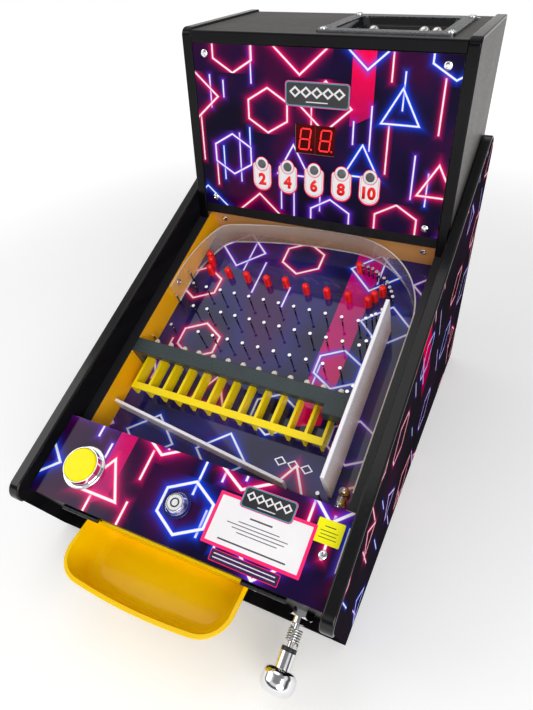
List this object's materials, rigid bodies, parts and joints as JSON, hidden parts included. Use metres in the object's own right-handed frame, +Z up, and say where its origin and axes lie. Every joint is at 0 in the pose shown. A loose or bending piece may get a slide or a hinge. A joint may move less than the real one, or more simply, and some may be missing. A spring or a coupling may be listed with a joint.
{
  "type": "tabletop ball-drop game",
  "caption": "Tabletop ball-drop game: sloping nail field with a comb of ball slots, hinged lid with button and cam lock, spring plunger, ball tray, display box.",
  "frame": {"origin": "centre of the object's overall box, on the surface that the feet stand on", "axes": "+X to the player's right, +Y from the player to the display box, +Z up"},
  "size_m": [0.338, 0.581, 0.4642],
  "materials": {
    "board_black": "satin",
    "edge_black": "gloss",
    "box_grey": "satin",
    "raw_wood": "matte",
    "yellow_board": "satin",
    "trim_dark": "gloss",
    "field_sheet": "gloss",
    "lid_gloss": "gloss",
    "clear_plastic": "gloss",
    "yellow_plastic": "gloss",
    "white_plastic": "gloss",
    "bar_black": "gloss",
    "circuit": "satin",
    "steel": "gloss",
    "chrome": "gloss",
    "lock_metal": "satin",
    "red_rubber": "gloss",
    "black_plastic": "satin",
    "rubber": "matte",
    "art": "gloss",
    "display_red": "gloss",
    "lamp_glow": "gloss",
    "bezel_black": "satin",
    "dish_metal": "satin",
    "button_yellow": "gloss"
  },
  "bodies": {
    "root": {"art_panel": "art", "backbox_front_rail": "box_grey", "backbox_moldings": "edge_black", "backbox_side_left": "box_grey", "backbox_side_right": "box_grey", "backbox_top": "box_grey", "ball_dish": "dish_metal", "ball_sensors": "circuit", "ball_tray": "yellow_plastic", "base_board": "board_black", "bumper_posts": "red_rubber", "cabinet_side_left": "board_black", "cabinet_side_right": "board_black", "collector_comb": "yellow_plastic", "collector_cover": "bar_black", "dish_frame": "dish_metal", "display_board": "circuit", "display_module": "black_plastic", "display_window": "display_red", "edge_molding_left": "edge_black", "edge_molding_right": "edge_black", "fence_pins": "steel", "fixing_screws": "steel", "front_apron": "board_black", "guide_strip": "clear_plastic", "hinge_leaves_fixed": "steel", "lamp_bezels": "bezel_black", "lane_divider": "white_plastic", "latch_rail": "raw_wood", "ledge_trims": "trim_dark", "panel_cleats": "raw_wood", "playfield_board": "raw_wood", "playfield_nails": "steel", "playfield_sheet": "field_sheet", "plunger_nut": "chrome", "plunger_sleeve": "chrome", "plunger_spring": "steel", "power_inlet": "black_plastic", "rear_panel": "board_black", "return_rail": "white_plastic", "rubber_feet": "rubber", "score_lamps": "lamp_glow", "slot_pins": "steel", "stored_balls": "steel", "well_wall_back": "yellow_board", "well_wall_left": "yellow_board", "well_wall_right": "yellow_board"},
    "lid": {"lid_board": "lid_gloss", "lid_sheet": "lid_gloss", "hinge_leaves_lid": "steel", "button_housing": "chrome", "lock_body": "lock_metal", "lid_screw": "steel"},
    "button": {"button_cap": "button_yellow"},
    "lock": {"lock_plug": "chrome"},
    "plunger": {"plunger_rod": "steel", "plunger_collar": "black_plastic", "plunger_knob": "chrome", "plunger_outer_spring": "steel"},
    "ball": {"ball": "steel"}
  },
  "joints": [
    {"name": "lid_hinge", "type": "hinge", "parent": "root", "child": "lid", "pos_m": [0, -0.23852, 0.09608], "axis": [1, 0, 0], "range_deg": [0, 95]},
    {"name": "start_button", "type": "slide", "parent": "lid", "child": "button", "axis": [0, 0.4099, -0.9121], "range_m": [0, 0.003], "stiffness_N_per_m": 400},
    {"name": "lid_lock", "type": "hinge", "parent": "lid", "child": "lock", "pos_m": [-0.0018, -0.20551, 0.11925], "axis": [0, -0.4099, 0.9121], "range_deg": [0, 90]},
    {"name": "plunger_pull", "type": "slide", "parent": "root", "child": "plunger", "axis": [0, -0.9121, -0.4099], "range_m": [0, 0.035], "stiffness_N_per_m": 120, "deforming": ["plunger_spring"]},
    {"name": "ball_run", "type": "slide", "parent": "root", "child": "ball", "axis": [0, 0.9121, 0.4099], "range_m": [0, 0.19]}
  ]
}
